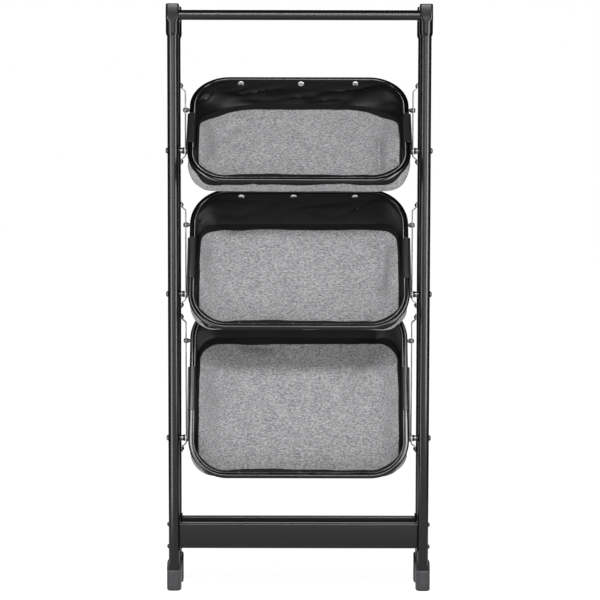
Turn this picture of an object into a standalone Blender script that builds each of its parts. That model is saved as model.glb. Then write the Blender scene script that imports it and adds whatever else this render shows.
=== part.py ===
# Three-tier folding camp rack: two tubular frames joined by three tilting fabric baskets.
# Metres, +Z up, the front of the rack faces -Y. Run with Blender 4.5, or from its text editor.

import math

import bmesh
import bpy
from mathutils import Vector

# Frames
OVERALL_HEIGHT = 1.176
LEG_SPREAD = 0.5024
FRAME_SPACING = 0.076
FOLD_TRAVEL = 0.034
LEG_DIAMETER = 0.022
LEG_WALL = 0.0012
CLEARANCE = 0.0003
HOLE_CLEARANCE = 0.0004

# Leg caps and the carrying bar between the front ones
CAP_DIAMETER = 0.027
CAP_LENGTH = 0.063
CAP_CROWN = 0.006
CAP_CHAMFER = 0.0015
CAP_LIP = 0.001
CAP_TAPER = 0.005
CAP_SQUARE_LENGTH = 0.024
CAP_BLEND = 0.010
CAP_SQUARENESS = 5.0
BAR_DIAMETER = 0.020
BAR_WALL = 0.0012
BAR_DROP = 0.0221

# Rubber feet
FOOT_WIDTH = 0.029
FOOT_DEPTH = 0.031
FOOT_SOLE = 0.006
FOOT_FRONT_HEIGHT = 0.041
FOOT_REAR_HEIGHT = 0.062
FOOT_CHAMFER = 0.003
FOOT_SQUARENESS = 5.0

# Cross plates, folded from sheet, with a lug on each end
PLATE_BOTTOM = 0.0856
PLATE_HEIGHT = 0.0514
PLATE_SHEET = 0.0015
PLATE_FLANGE = 0.012
LUG_OVERHANG = 0.006
RIVET_DIAMETER = 0.005
RIVET_HEAD_DIAMETER = 0.009
RIVET_HEAD_HEIGHT = 0.0032
RIVET_EDGE = 0.0033

# Slotted bars on the inner faces of the rear legs
GUIDE_WIDTH = 0.016
GUIDE_SHEET = 0.002
GUIDE_STANDOFF = 0.0083
GUIDE_TAB_END = 0.006
GUIDE_TAB_ROOT = 0.0045
GUIDE_SLANT = 0.007
GUIDE_RIVET_DIAMETER = 0.004
GUIDE_RIVET_HEAD_DIAMETER = 0.0076
GUIDE_RIVET_HEAD_HEIGHT = 0.0024
SLOT_WIDTH = 0.009
SLOT_TOP_ROOM = 0.003

# Basket rims, whose width is what the legs leave free
RIM_SIDE_ROOM = 0.0232
RIM_DIAMETER = 0.0105
RIM_WALL = 0.001
RIM_CORNER = 0.074
RIM_SPLIT_GAP = 0.0006

# Joiners: a sleeve over each split, with a flat strip that reaches down to the pivot
SLEEVE_WALL = 0.0012
STRIP_SHEET = 0.0028
STRIP_WIDTH = 0.012
STRIP_END = 0.008

# Pivot bolts, spacers and guide studs
BOLT_DIAMETER = 0.005
BOLT_HEAD_DIAMETER = 0.0118
BOLT_HEAD_HEIGHT = 0.0036
BOLT_REACH = 0.0015
SPACER_DIAMETER = 0.0136
SPACER_NOSE_DIAMETER = 0.009
SPACER_NOSE_LENGTH = 0.0028
STUD_DIAMETER = 0.0046
STUD_BOSS_DIAMETER = 0.0078
STUD_HEAD_DIAMETER = 0.010
STUD_HEAD_HEIGHT = 0.0035
STUD_SIDE_GAP = 0.0006

# Fabric bags
BAG_WALL = 0.002
BAG_DEPTH = 0.050
BAG_BAND_TOP = 0.004
BAG_BAND_BOTTOM = 0.012
BAG_SIDE_INSET = 0.014
BAG_FRONT_INSET = 0.022
BAG_FLOOR_ROUND = 0.012
BAG_MOUTH_SHARE = 0.25

# Tiers: the pivot's height above the floor, the stud's rise above the pivot, the guide's rivets above and below the
# stud, the rim's reach in front of the pivot and behind the stud, then the sleeve and the bag
TIERS = {
    "top": {
        "pivot": 0.886,
        "stud_rise": 0.082,
        "guide_above_stud": 0.049,
        "guide_below_stud": 0.104,
        "rim_front_reach": 0.079,
        "rim_rear_reach": 0.0872,
        "sleeve_length": 0.080,
        "bag_rear_inset": 0.024,
    },
    "middle": {
        "pivot": 0.600,
        "stud_rise": 0.1356,
        "guide_above_stud": 0.0407,
        "guide_below_stud": 0.1632,
        "rim_front_reach": 0.072,
        "rim_rear_reach": 0.0766,
        "sleeve_length": 0.091,
        "bag_rear_inset": 0.044,
    },
    "bottom": {
        "pivot": 0.310,
        "stud_rise": 0.189,
        "guide_above_stud": 0.049,
        "guide_below_stud": 0.2222,
        "rim_front_reach": 0.078,
        "rim_rear_reach": 0.0783,
        "sleeve_length": 0.091,
        "bag_rear_inset": 0.050,
    },
}
SIDES = {"left": -1, "right": 1}

# The exponent of a plain circle among softened squares
CIRCLE = 2.0

# One overrun for every cutter, and the facet counts
OVERRUN = 0.002
TUBE_STEPS = 20
RIM_STEPS = 8
FASTENER_STEPS = 8
CORNER_STEPS = 5
DOME_STEPS = 2

leg_radius = LEG_DIAMETER / 2
leg_x = LEG_SPREAD / 2
leg_inner_x = leg_x - leg_radius
leg_outer_x = leg_x + leg_radius
rim_radius = RIM_DIAMETER / 2
rim_half_width = leg_inner_x - RIM_SIDE_ROOM
rim_outer_x = rim_half_width + rim_radius
guide_face_x = leg_inner_x - CLEARANCE - GUIDE_STANDOFF
for tier in TIERS.values():
    stud_reach = math.hypot(FRAME_SPACING, tier["stud_rise"])
    tier["stud"] = tier["pivot"] + tier["stud_rise"]
    tier["guide_top"] = tier["stud"] + tier["guide_above_stud"]
    tier["guide_bottom"] = tier["stud"] - tier["guide_below_stud"]
    tier["rim_depth"] = tier["rim_front_reach"] + stud_reach + tier["rim_rear_reach"]
    tier["rim_offset"] = tier["rim_depth"] / 2 - tier["rim_front_reach"]


def clear_scene():
    for item in list(bpy.data.objects):
        bpy.data.objects.remove(item, do_unlink=True)


def make_material(name, colour, roughness, metallic):
    material = bpy.data.materials.new(name)
    material.use_nodes = True
    shader = material.node_tree.nodes["Principled BSDF"]
    shader.inputs["Base Color"].default_value = (*colour, 1)
    shader.inputs["Roughness"].default_value = roughness
    shader.inputs["Metallic"].default_value = metallic
    return material


def make_empty(name, place, tilt=0, parent=None):
    empty = bpy.data.objects.new(name, None)
    bpy.context.scene.collection.objects.link(empty)
    empty.location = place
    empty.rotation_euler.x = tilt
    empty.parent = parent
    return empty


def make_object(name, mesh_work, material, parent):
    """Turns a bmesh into a named object, its faces pointing out and its round faces smooth."""
    bmesh.ops.recalc_face_normals(mesh_work, faces=mesh_work.faces)
    mesh = bpy.data.meshes.new(name)
    mesh_work.to_mesh(mesh)
    mesh_work.free()
    mesh.shade_smooth()
    mesh.set_sharp_from_angle(angle=math.radians(35))
    mesh.materials.append(material)
    item = bpy.data.objects.new(name, mesh)
    bpy.context.scene.collection.objects.link(item)
    item.parent = parent
    return item


def make_helper(name, mesh_work, parent):
    helper = make_object(name, mesh_work, helper_material, parent)
    helper.hide_render = True
    helper.display_type = "WIRE"
    return helper


def combine(item, helper, operation):
    modifier = item.modifiers.new(helper.name, "BOOLEAN")
    modifier.operation = operation
    modifier.object = helper


def skin(mesh_work, rings, closed=False):
    """Joins rings of points. A closed skin runs back to its first ring, and an open one is capped."""
    loops = [[mesh_work.verts.new(point) for point in ring] for ring in rings]
    count = len(loops[0])
    pairs = list(zip(loops, loops[1:]))
    if closed:
        pairs.append((loops[-1], loops[0]))
    for low, high in pairs:
        for i in range(count):
            j = (i + 1) % count
            mesh_work.faces.new((low[i], low[j], high[j], high[i]))
    if not closed:
        mesh_work.faces.new(loops[0])
        mesh_work.faces.new(loops[-1])


def circle(centre, along, radius, steps):
    """Points round a circle that faces along an axis: x, y or z."""
    points = []
    for i in range(steps):
        turn = math.tau * i / steps
        a, b = radius * math.cos(turn), radius * math.sin(turn)
        offset = {"x": (0, a, b), "y": (a, 0, b), "z": (a, b, 0)}[along]
        points.append(Vector(centre) + Vector(offset))
    return points


def turned(mesh_work, along, start, profile, steps, closed=False):
    """A lathe shape. The profile lists (distance along the axis, radius) from the start point."""
    direction = Vector({"x": (1, 0, 0), "y": (0, 1, 0), "z": (0, 0, 1)}[along])
    rings = [circle(Vector(start) + direction * way, along, radius, steps) for way, radius in profile]
    skin(mesh_work, rings, closed)


def rod(mesh_work, along, start, length, radius, steps=FASTENER_STEPS):
    turned(mesh_work, along, start, [(0, radius), (length, radius)], steps)


def pipe(mesh_work, along, start, length, radius, wall, steps=TUBE_STEPS):
    inner = radius - wall
    profile = [(0, radius), (length, radius), (length, inner), (0, inner)]
    turned(mesh_work, along, start, profile, steps, closed=True)


def dome_profile(base, radius, height, side):
    """Rings of a domed head that starts at base and swells away along side, for turned."""
    tip_share = 0.25
    rings = []
    for step in range(DOME_STEPS + 1):
        turn = math.acos(tip_share) * step / DOME_STEPS
        rings.append((base + side * height * math.sin(turn), radius * math.cos(turn)))
    return rings


def block(mesh_work, low, high):
    corners = [(low[0], low[1]), (high[0], low[1]), (high[0], high[1]), (low[0], high[1])]
    skin(mesh_work, [[(x, y, z) for x, y in corners] for z in (low[2], high[2])])


# Frames


def make_leg(name, side, parent, cross_holes, inner_holes):
    """A tube leg. Cross holes go through both walls, inner holes through the inner wall alone."""
    work = bmesh.new()
    length = OVERALL_HEIGHT - CAP_CROWN - FOOT_SOLE - 2 * CLEARANCE
    foot = (side * leg_x, 0, FOOT_SOLE + CLEARANCE)
    pipe(work, "z", foot, length, leg_radius, LEG_WALL)
    leg = make_object(name, work, frame_paint, parent)

    work = bmesh.new()
    for height, diameter in cross_holes:
        start = (side * leg_x - leg_radius - OVERRUN, 0, height)
        rod(work, "x", start, LEG_DIAMETER + 2 * OVERRUN, diameter / 2 + HOLE_CLEARANCE)
    for height, diameter in inner_holes:
        reach = leg_radius - LEG_WALL - OVERRUN
        start = (side * (leg_inner_x - OVERRUN), 0, height)
        length = side * (leg_x - reach - leg_inner_x + OVERRUN)
        rod(work, "x", start, length, diameter / 2 + HOLE_CLEARANCE)
    combine(leg, make_helper(name + "_holes", work, parent), "DIFFERENCE")


def soft_square(side, half_width, half_depth, squareness):
    """Points round a leg's axis: an ellipse at a squareness of 2, and squarer above it."""
    points = []
    for i in range(TUBE_STEPS):
        turn = math.tau * i / TUBE_STEPS
        c, s = math.cos(turn), math.sin(turn)
        reach = (abs(c) ** squareness + abs(s) ** squareness) ** (-1 / squareness)
        points.append((side * leg_x + half_width * reach * c, half_depth * reach * s))
    return points


def make_cap(name, side, parent, with_socket):
    """A moulded cap over a leg's end: round below, squarer above, where the front ones take the bar."""
    radius = CAP_DIAMETER / 2
    bore = leg_radius + CLEARANCE
    low = OVERALL_HEIGHT - CAP_LENGTH
    square_low = OVERALL_HEIGHT - CAP_SQUARE_LENGTH
    crown = radius - CAP_CHAMFER
    stations = [
        (OVERALL_HEIGHT - CAP_CROWN, bore, CIRCLE),
        (low, bore, CIRCLE),
        (low, bore + CAP_LIP, CIRCLE),
        (low + CAP_TAPER, radius, CIRCLE),
        (square_low - CAP_BLEND, radius, CIRCLE),
        (square_low, radius, CAP_SQUARENESS),
        (OVERALL_HEIGHT - CAP_CHAMFER, radius, CAP_SQUARENESS),
        (OVERALL_HEIGHT, crown, CAP_SQUARENESS),
    ]
    work = bmesh.new()
    rings = []
    for height, reach, squareness in stations:
        rings.append([(x, y, height) for x, y in soft_square(side, reach, reach, squareness)])
    skin(work, rings)
    cap = make_object(name, work, cap_plastic, parent)
    if with_socket:
        start = (side * (leg_x - radius - OVERRUN), 0, OVERALL_HEIGHT - BAR_DROP)
        work = bmesh.new()
        rod(work, "x", start, side * (OVERRUN + radius), BAR_DIAMETER / 2 + CLEARANCE, TUBE_STEPS)
        combine(cap, make_helper(name + "_socket", work, parent), "DIFFERENCE")


def make_carrying_bar(parent):
    reach = leg_inner_x - CLEARANCE
    work = bmesh.new()
    pipe(work, "x", (-reach, 0, OVERALL_HEIGHT - BAR_DROP), 2 * reach, BAR_DIAMETER / 2, BAR_WALL)
    make_object("carrying_bar", work, frame_paint, parent)


def sloped(points, front_height, rear_height):
    """Lifts points to a height that runs evenly from the foot's front to its rear."""
    lifted = []
    for x, y in points:
        share = y / FOOT_DEPTH + 0.5
        lifted.append((x, y, front_height + (rear_height - front_height) * share))
    return lifted


def make_foot(name, side, parent):
    """A rubber boot, its top edge low at the front and high behind."""
    half_width, half_depth = FOOT_WIDTH / 2, FOOT_DEPTH / 2
    bore = leg_radius + CLEARANCE
    sole = soft_square(side, half_width - FOOT_CHAMFER, half_depth - FOOT_CHAMFER, FOOT_SQUARENESS)
    outside = soft_square(side, half_width, half_depth, FOOT_SQUARENESS)
    inside = soft_square(side, bore, bore, CIRCLE)
    rings = [
        sloped(sole, 0, 0),
        sloped(outside, FOOT_CHAMFER, FOOT_CHAMFER),
        sloped(outside, FOOT_FRONT_HEIGHT, FOOT_REAR_HEIGHT),
        sloped(inside, FOOT_FRONT_HEIGHT, FOOT_REAR_HEIGHT),
        sloped(inside, FOOT_SOLE, FOOT_SOLE),
    ]
    work = bmesh.new()
    skin(work, rings)
    make_object(name, work, foot_rubber, parent)


def plate_rivet_heights():
    middle = PLATE_BOTTOM + PLATE_HEIGHT / 2
    spread = PLATE_HEIGHT / 2 - RIVET_EDGE
    return middle - spread, middle + spread


def make_cross_plate(name, parent):
    """A folded channel with end lugs, and the rivets that hold the lugs through the legs."""
    lug_x = leg_inner_x - CLEARANCE
    half = PLATE_FLANGE / 2
    top = PLATE_BOTTOM + PLATE_HEIGHT
    section = [
        (-half, PLATE_BOTTOM),
        (half, PLATE_BOTTOM),
        (half, PLATE_BOTTOM + PLATE_SHEET),
        (PLATE_SHEET - half, PLATE_BOTTOM + PLATE_SHEET),
        (PLATE_SHEET - half, top - PLATE_SHEET),
        (half, top - PLATE_SHEET),
        (half, top),
        (-half, top),
    ]
    work = bmesh.new()
    reach = lug_x - PLATE_SHEET / 2
    skin(work, [[(x, y, z) for y, z in section] for x in (-reach, reach)])
    plate = make_object(name, work, frame_paint, parent)
    for side_name, side in SIDES.items():
        work = bmesh.new()
        inner, outer = sorted((side * (lug_x - PLATE_SHEET), side * lug_x))
        low = (inner, -half, PLATE_BOTTOM - LUG_OVERHANG)
        block(work, low, (outer, half, top + LUG_OVERHANG))
        combine(plate, make_helper(f"{name}_lug_{side_name}", work, parent), "UNION")
        work = bmesh.new()
        for height in plate_rivet_heights():
            head = leg_outer_x + CLEARANCE
            profile = [(side * (lug_x - PLATE_SHEET / 2), RIVET_DIAMETER / 2)]
            profile.append((side * head, RIVET_DIAMETER / 2))
            profile += dome_profile(side * head, RIVET_HEAD_DIAMETER / 2, RIVET_HEAD_HEIGHT, side)
            turned(work, "x", (0, 0, height), profile, FASTENER_STEPS)
        combine(plate, make_helper(f"{name}_rivets_{side_name}", work, parent), "UNION")


# Slotted guide bars


def make_guide(name, side, tier, parent):
    """A bridge-shaped bar on a rear leg, slotted over the stud's travel, with its two rivets."""
    tab_x = leg_inner_x - CLEARANCE
    upper, lower = tier["guide_top"], tier["guide_bottom"]
    route = [
        (tab_x, upper + GUIDE_TAB_END),
        (tab_x, upper - GUIDE_TAB_ROOT),
        (guide_face_x, upper - GUIDE_TAB_ROOT - GUIDE_SLANT),
        (guide_face_x, lower + GUIDE_TAB_ROOT + GUIDE_SLANT),
        (tab_x, lower + GUIDE_TAB_ROOT),
        (tab_x, lower - GUIDE_TAB_END),
    ]
    bend = GUIDE_SHEET * math.tan(math.atan2(GUIDE_STANDOFF, GUIDE_SLANT) / 2)
    shifts = (0, -bend, -bend, bend, bend, 0)
    back = [(x - GUIDE_SHEET, z + shift) for (x, z), shift in zip(route, shifts)]
    outline = route + back[::-1]
    work = bmesh.new()
    half = GUIDE_WIDTH / 2
    skin(work, [[(side * x, y, z) for x, z in outline] for y in (-half, half)])
    guide = make_object(name, work, guide_steel, parent)

    work = bmesh.new()
    for height in (upper, lower):
        head = tab_x - GUIDE_SHEET / 2
        radius = GUIDE_RIVET_DIAMETER / 2
        profile = [(side * (leg_inner_x + LEG_WALL), radius), (side * head, radius)]
        profile += dome_profile(
            side * head, GUIDE_RIVET_HEAD_DIAMETER / 2, GUIDE_RIVET_HEAD_HEIGHT + GUIDE_SHEET / 2, -side
        )
        turned(work, "x", (0, 0, height), profile, FASTENER_STEPS)
    combine(guide, make_helper(name + "_rivets", work, parent), "UNION")

    neck = STUD_DIAMETER / 2
    half_slot = SLOT_WIDTH / 2
    low = tier["stud"] - neck - CLEARANCE + half_slot
    high = folded_stud_height(tier) + neck + SLOT_TOP_ROOM - half_slot
    ends = []
    for i in range(FASTENER_STEPS + 1):
        turn = math.pi * i / FASTENER_STEPS
        ends.append((half_slot * math.cos(turn), half_slot * math.sin(turn)))
    slot = [(y, high + z) for y, z in ends] + [(-y, low - z) for y, z in ends]
    work = bmesh.new()
    start, end = guide_face_x + OVERRUN, guide_face_x - GUIDE_SHEET - OVERRUN
    skin(work, [[(side * x, y, z) for y, z in slot] for x in (start, end)])
    combine(guide, make_helper(name + "_slot", work, parent), "DIFFERENCE")


# Baskets, each drawn round its pivot: X across, Y up the rim's slope, Z square to the rim


def stud_distance(tier):
    return math.hypot(FRAME_SPACING, tier["stud_rise"])


def rest_tilt(tier):
    return math.atan2(tier["stud_rise"], FRAME_SPACING)


def folded_tilt(tier):
    return math.acos((FRAME_SPACING - FOLD_TRAVEL) / stud_distance(tier))


def folded_stud_height(tier):
    return tier["pivot"] + stud_distance(tier) * math.sin(folded_tilt(tier))


def rim_route(tier, way):
    """Points and outward directions along one half of the rim, front (way -1) or rear (way 1)."""
    middle, end = tier["rim_offset"], tier["rim_offset"] + way * tier["rim_depth"] / 2
    corner_y = end - way * RIM_CORNER
    corner_x = rim_half_width - RIM_CORNER
    stations = [((rim_half_width, middle + way * RIM_SPLIT_GAP / 2), (1, 0))]
    for i in range(CORNER_STEPS + 1):
        turn = math.pi / 2 * i / CORNER_STEPS
        c, s = math.cos(turn), math.sin(turn)
        stations.append(((corner_x + RIM_CORNER * c, corner_y + way * RIM_CORNER * s), (c, way * s)))
    mirrored = [((-x, y), (-out_x, out_y)) for (x, y), (out_x, out_y) in reversed(stations)]
    return stations + mirrored


def rim_ring(station, radius):
    (x, y), (out_x, out_y) = station
    points = []
    for i in range(RIM_STEPS):
        turn = math.tau * (i + 0.5) / RIM_STEPS
        reach, height = radius * math.cos(turn), radius * math.sin(turn)
        points.append((x + out_x * reach, y + out_y * reach, height))
    return points


def make_rim_half(name, tier, way, hole_y, hole_diameter, parent):
    route = rim_route(tier, way)
    outer = [rim_ring(station, rim_radius) for station in route]
    inner = [rim_ring(station, rim_radius - RIM_WALL) for station in reversed(route)]
    work = bmesh.new()
    skin(work, outer + inner, closed=True)
    rim = make_object(name, work, frame_paint, parent)
    work = bmesh.new()
    for side in SIDES.values():
        start = (side * rim_half_width, hole_y, 0)
        rod(work, "x", start, side * (rim_radius + OVERRUN), hole_diameter / 2 + HOLE_CLEARANCE)
    combine(rim, make_helper(name + "_holes", work, parent), "DIFFERENCE")


def strip_outer_x():
    return rim_outer_x + CLEARANCE + STRIP_SHEET


def make_joiner(name, side, tier, parent):
    """A sleeve over the rim's split and a flat strip along its outside, down past the pivot."""
    bore = rim_radius + CLEARANCE
    length = tier["sleeve_length"]
    low = tier["rim_offset"] - length / 2
    work = bmesh.new()
    start = (side * rim_half_width, low, 0)
    pipe(work, "y", start, length, bore + SLEEVE_WALL, SLEEVE_WALL, 2 * RIM_STEPS)
    joiner = make_object(name, work, joiner_plastic, parent)
    work = bmesh.new()
    inner, outer = sorted((side * (strip_outer_x() - STRIP_SHEET), side * strip_outer_x()))
    block(work, (inner, -STRIP_END, -STRIP_WIDTH / 2), (outer, low + length, STRIP_WIDTH / 2))
    combine(joiner, make_helper(name + "_strip", work, parent), "UNION")
    work = bmesh.new()
    start = (side * (strip_outer_x() + OVERRUN), 0, 0)
    reach = STRIP_SHEET + OVERRUN + CLEARANCE
    rod(work, "x", start, -side * reach, BOLT_DIAMETER / 2 + HOLE_CLEARANCE)
    combine(joiner, make_helper(name + "_hole", work, parent), "DIFFERENCE")


def make_stud(name, side, tier, parent):
    """A shouldered stud on the rim. Its neck runs in the guide's slot and its head keeps it there."""
    shoulder = rim_outer_x + CLEARANCE
    neck = guide_face_x - GUIDE_SHEET - STUD_SIDE_GAP
    head = guide_face_x + STUD_SIDE_GAP
    radius = STUD_DIAMETER / 2
    profile = [
        (side * (rim_half_width + BOLT_REACH), radius),
        (side * shoulder, radius),
        (side * shoulder, STUD_BOSS_DIAMETER / 2),
        (side * neck, STUD_BOSS_DIAMETER / 2),
        (side * neck, radius),
        (side * head, radius),
    ]
    profile += dome_profile(side * head, STUD_HEAD_DIAMETER / 2, STUD_HEAD_HEIGHT, side)
    work = bmesh.new()
    turned(work, "x", (0, stud_distance(tier), 0), profile, FASTENER_STEPS)
    make_object(name, work, fastener_steel, parent)


def make_pivot(tier_name, side_name, side, tier, parent):
    """The bolt through the front leg, and the spacer that it passes on its way to the rim."""
    height = tier["pivot"]
    head = leg_outer_x + CLEARANCE
    radius = BOLT_DIAMETER / 2
    profile = [(side * (rim_half_width + BOLT_REACH), radius), (side * head, radius)]
    profile += dome_profile(side * head, BOLT_HEAD_DIAMETER / 2, BOLT_HEAD_HEIGHT, side)
    work = bmesh.new()
    turned(work, "x", (0, 0, height), profile, FASTENER_STEPS)
    make_object(f"{tier_name}_pivot_bolt_{side_name}", work, fastener_steel, parent)

    bore = radius + HOLE_CLEARANCE
    nose = strip_outer_x() + CLEARANCE
    step = nose + SPACER_NOSE_LENGTH
    back = leg_inner_x - CLEARANCE
    profile = [
        (side * nose, bore),
        (side * nose, SPACER_NOSE_DIAMETER / 2),
        (side * step, SPACER_NOSE_DIAMETER / 2),
        (side * step, SPACER_DIAMETER / 2),
        (side * back, SPACER_DIAMETER / 2),
        (side * back, bore),
    ]
    work = bmesh.new()
    turned(work, "x", (0, 0, height), profile, FASTENER_STEPS, closed=True)
    make_object(f"{tier_name}_pivot_spacer_{side_name}", work, spacer_plastic, parent)


def bag_ring(half_width, front, rear, corner, height):
    """A rounded rectangle round the bag at one height above the rim's plane."""
    points = []
    quarters = ((1, 1, rear), (-1, 1, rear), (-1, -1, front), (1, -1, front))
    for number, (way_x, way_y, end) in enumerate(quarters):
        for i in range(CORNER_STEPS + 1):
            turn = math.pi / 2 * (number + i / CORNER_STEPS)
            x = way_x * (half_width - corner) + corner * math.cos(turn)
            y = end - way_y * corner + corner * math.sin(turn)
            points.append((x, y, height))
    return points


def bag_section():
    """Shares of the inset, paired with heights, from the band's top edge down to the floor."""
    floor = -BAG_DEPTH
    return [
        (0, BAG_BAND_TOP),
        (0, -BAG_BAND_BOTTOM),
        (BAG_MOUTH_SHARE, (floor - BAG_BAND_BOTTOM) / 2),
        (0.5 + BAG_MOUTH_SHARE / 2, floor + BAG_FLOOR_ROUND / 2),
        (1 + BAG_MOUTH_SHARE / 2, floor),
    ]


def make_bag(name, tier, parent):
    """An open fabric bag: an upright band inside the rim, walls that lean in, and a flat floor."""
    top_inset = rim_radius + CLEARANCE + SLEEVE_WALL + CLEARANCE
    front = tier["rim_offset"] - tier["rim_depth"] / 2 + top_inset
    rear = tier["rim_offset"] + tier["rim_depth"] / 2 - top_inset
    half_width = rim_half_width - top_inset
    corner = RIM_CORNER - top_inset
    outer, inner = [], []
    for share, height in bag_section():
        x = half_width - share * BAG_SIDE_INSET
        low = front + share * BAG_FRONT_INSET
        high = rear - share * tier["bag_rear_inset"]
        radius = corner - share * BAG_SIDE_INSET
        outer.append(bag_ring(x, low, high, radius, height))
        lift = 0 if height > 0 else BAG_WALL
        low, high = low + BAG_WALL, high - BAG_WALL
        inner.append(bag_ring(x - BAG_WALL, low, high, radius - BAG_WALL, height + lift))
    work = bmesh.new()
    skin(work, outer[::-1] + inner)
    make_object(name, work, bag_fabric, parent)


def make_basket(tier_name, tier, frame):
    pivot = make_empty(f"{tier_name}_basket", (0, 0, tier["pivot"]), rest_tilt(tier), frame)
    make_rim_half(f"{tier_name}_rim_front", tier, -1, 0, BOLT_DIAMETER, pivot)
    make_rim_half(f"{tier_name}_rim_rear", tier, 1, stud_distance(tier), STUD_DIAMETER, pivot)
    make_bag(f"{tier_name}_bag", tier, pivot)
    for side_name, side in SIDES.items():
        make_joiner(f"{tier_name}_rim_joiner_{side_name}", side, tier, pivot)
        make_stud(f"{tier_name}_guide_stud_{side_name}", side, tier, pivot)
        make_pivot(tier_name, side_name, side, tier, frame)


def depth_middle():
    """Half way between the rack's foremost and rearmost points."""
    bpy.context.view_layer.update()
    reach = []
    for item in bpy.context.scene.objects:
        if item.type == "MESH" and not item.hide_render:
            reach += [(item.matrix_world @ vertex.co).y for vertex in item.data.vertices]
    return (min(reach) + max(reach)) / 2


clear_scene()
frame_paint = make_material("frame_paint", (0.012, 0.012, 0.013), 0.38, 0.0)
guide_steel = make_material("guide_steel", (0.03, 0.03, 0.032), 0.45, 0.0)
fastener_steel = make_material("fastener_steel", (0.02, 0.02, 0.02), 0.4, 0.6)
cap_plastic = make_material("cap_plastic", (0.014, 0.014, 0.015), 0.5, 0.0)
spacer_plastic = make_material("spacer_plastic", (0.03, 0.03, 0.03), 0.5, 0.0)
joiner_plastic = make_material("joiner_plastic", (0.045, 0.045, 0.047), 0.45, 0.0)
foot_rubber = make_material("foot_rubber", (0.06, 0.06, 0.065), 0.7, 0.0)
bag_fabric = make_material("bag_fabric", (0.25, 0.25, 0.26), 0.95, 0.0)
helper_material = make_material("helper", (0.8, 0.2, 0.2), 0.5, 0.0)

rack = make_empty("rack", (0, 0, 0))
rear_frame = make_empty("rear_frame", (0, FRAME_SPACING, 0), parent=rack)
plate_holes = [(height, RIVET_DIAMETER) for height in plate_rivet_heights()]
bolt_holes = [(tier["pivot"], BOLT_DIAMETER) for tier in TIERS.values()]
guide_holes = [
    (tier[end], GUIDE_RIVET_DIAMETER) for tier in TIERS.values() for end in ("guide_top", "guide_bottom")
]

for side_name, side in SIDES.items():
    make_leg(f"front_leg_{side_name}", side, rack, plate_holes + bolt_holes, [])
    make_leg(f"rear_leg_{side_name}", side, rear_frame, plate_holes, guide_holes)
    make_cap(f"front_cap_{side_name}", side, rack, True)
    make_cap(f"rear_cap_{side_name}", side, rear_frame, False)
    make_foot(f"front_foot_{side_name}", side, rack)
    make_foot(f"rear_foot_{side_name}", side, rear_frame)
    for tier_name, tier in TIERS.items():
        make_guide(f"{tier_name}_guide_{side_name}", side, tier, rear_frame)
make_carrying_bar(rack)
make_cross_plate("front_cross_plate", rack)
make_cross_plate("rear_cross_plate", rear_frame)
for tier_name, tier in TIERS.items():
    make_basket(tier_name, tier, rack)
rack.location.y = -depth_middle()
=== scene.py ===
import math

import bmesh
import bpy
from mathutils import Matrix, Vector, noise


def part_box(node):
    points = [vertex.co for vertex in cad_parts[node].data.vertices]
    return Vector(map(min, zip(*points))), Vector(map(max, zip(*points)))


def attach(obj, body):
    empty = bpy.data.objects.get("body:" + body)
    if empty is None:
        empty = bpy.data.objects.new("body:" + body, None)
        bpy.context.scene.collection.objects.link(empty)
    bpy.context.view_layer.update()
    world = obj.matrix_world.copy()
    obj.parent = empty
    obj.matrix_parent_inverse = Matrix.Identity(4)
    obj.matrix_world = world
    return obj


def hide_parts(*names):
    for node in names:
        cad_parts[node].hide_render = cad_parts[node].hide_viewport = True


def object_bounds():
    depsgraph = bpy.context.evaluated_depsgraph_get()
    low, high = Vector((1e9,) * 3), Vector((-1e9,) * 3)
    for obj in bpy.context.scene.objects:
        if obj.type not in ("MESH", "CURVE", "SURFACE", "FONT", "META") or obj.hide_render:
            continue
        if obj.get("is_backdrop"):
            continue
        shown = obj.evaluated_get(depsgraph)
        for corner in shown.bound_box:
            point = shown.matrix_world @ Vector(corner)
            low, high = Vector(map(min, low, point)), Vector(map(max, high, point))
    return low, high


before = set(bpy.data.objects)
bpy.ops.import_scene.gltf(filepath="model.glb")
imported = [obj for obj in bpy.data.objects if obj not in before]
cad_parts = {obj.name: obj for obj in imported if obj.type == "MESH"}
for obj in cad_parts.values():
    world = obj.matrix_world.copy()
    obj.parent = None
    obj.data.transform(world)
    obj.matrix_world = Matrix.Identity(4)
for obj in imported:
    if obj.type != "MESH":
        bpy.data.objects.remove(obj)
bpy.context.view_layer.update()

# The camera stands almost four metres in front of the rack, level with the top basket, and looks slightly down, so
# the tubes stay nearly parallel.
front_y = sum(corner.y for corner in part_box("front_leg_left")) / 2
rear_y = sum(corner.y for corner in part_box("rear_leg_left")) / 2
scene = bpy.context.scene
camera = bpy.data.objects.new("camera", bpy.data.cameras.new("camera"))
scene.collection.objects.link(camera)
camera_distance, camera_height = 3.86, 0.874
look_down, roll = 4.235, -0.10
camera.data.sensor_width = 36
camera.data.lens = 116.0
camera.location = (0.0017, front_y - camera_distance, camera_height)
camera.rotation_euler = (math.radians(90 - look_down), math.radians(roll), 0)
scene.camera = camera
scene.view_settings.view_transform = "Standard"


# The studio: a white sweep under and behind the rack, a softbox over the camera that draws a thin line of light along
# every level tube, a soft key in front, and panels that show only in the gloss: one over the camera, one in front, and
# an upright strip at each side for the legs.
def colour(text):
    """An sRGB hex colour as linear values, fully opaque."""
    channels = [int(text[i : i + 2], 16) / 255 for i in (1, 3, 5)]
    return [c / 12.92 if c <= 0.04045 else ((c + 0.055) / 1.055) ** 2.4 for c in channels] + [1]


def add_node(tree, kind, settings=(), links=()):
    """Adds a node, sets its properties or inputs by name or number, and links its inputs to other nodes' outputs."""
    node = tree.nodes.new(kind)
    for name, value in dict(settings).items():
        if isinstance(name, int) or name in node.inputs:
            node.inputs[name].default_value = value
        else:
            setattr(node, name, value)
    for name, output in dict(links).items():
        tree.links.new(output, node.inputs[name])
    return node


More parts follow.
